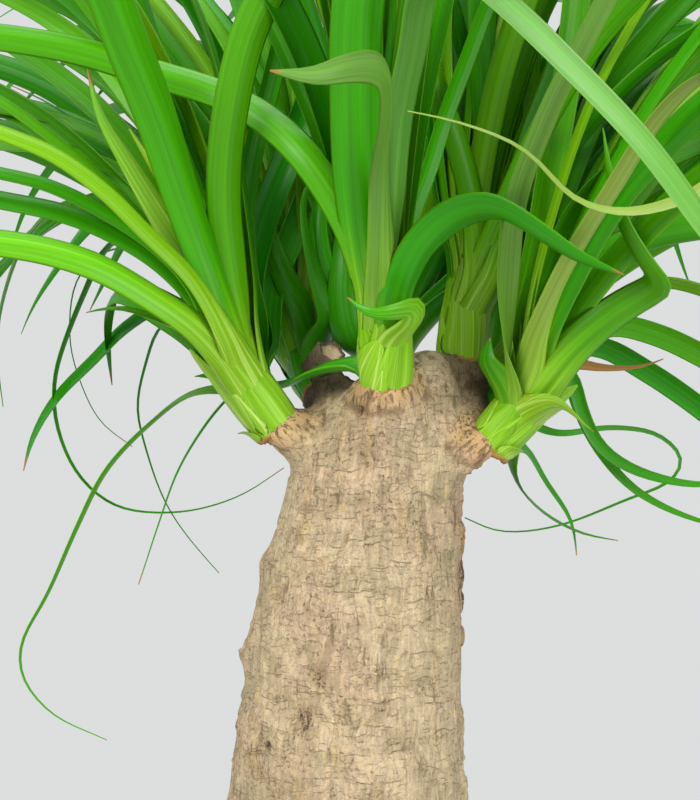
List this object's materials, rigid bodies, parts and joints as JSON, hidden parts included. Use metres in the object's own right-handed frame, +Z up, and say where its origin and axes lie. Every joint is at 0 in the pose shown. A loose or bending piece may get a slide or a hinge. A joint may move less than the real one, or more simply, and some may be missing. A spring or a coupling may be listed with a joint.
{
  "type": "potted ponytail palm",
  "caption": "Potted ponytail palm: a ringed trunk with a swollen foot in a plain tapered clay pot, crowned by heads of long arching strap leaves.",
  "frame": {"origin": "middle of the flat underside of the pot, on the surface that it stands on", "axes": "+Z up along the pot's axis; -Y towards the viewer of the front; +X to the right as seen from the front"},
  "size_m": [1.0041, 0.8909, 1.1317],
  "materials": {
    "pot": "plain unglazed fired clay, matte, slightly mottled",
    "soil": "loose dark bark-based potting mix, matte",
    "bark": "dry beige bark, ringed and cracked, matte",
    "leaf": "smooth green strap leaves with fine lengthwise veins, softly glossy"
  },
  "bodies": {
    "root": {"pot": "pot", "soil": "soil", "trunk": "bark", "shoot_left": "leaf", "shoot_front": "leaf", "shoot_top": "leaf", "shoot_right": "leaf", "shoot_back_left": "leaf", "shoot_back": "leaf", "shoot_back_right": "leaf"}
  },
  "joints": []
}
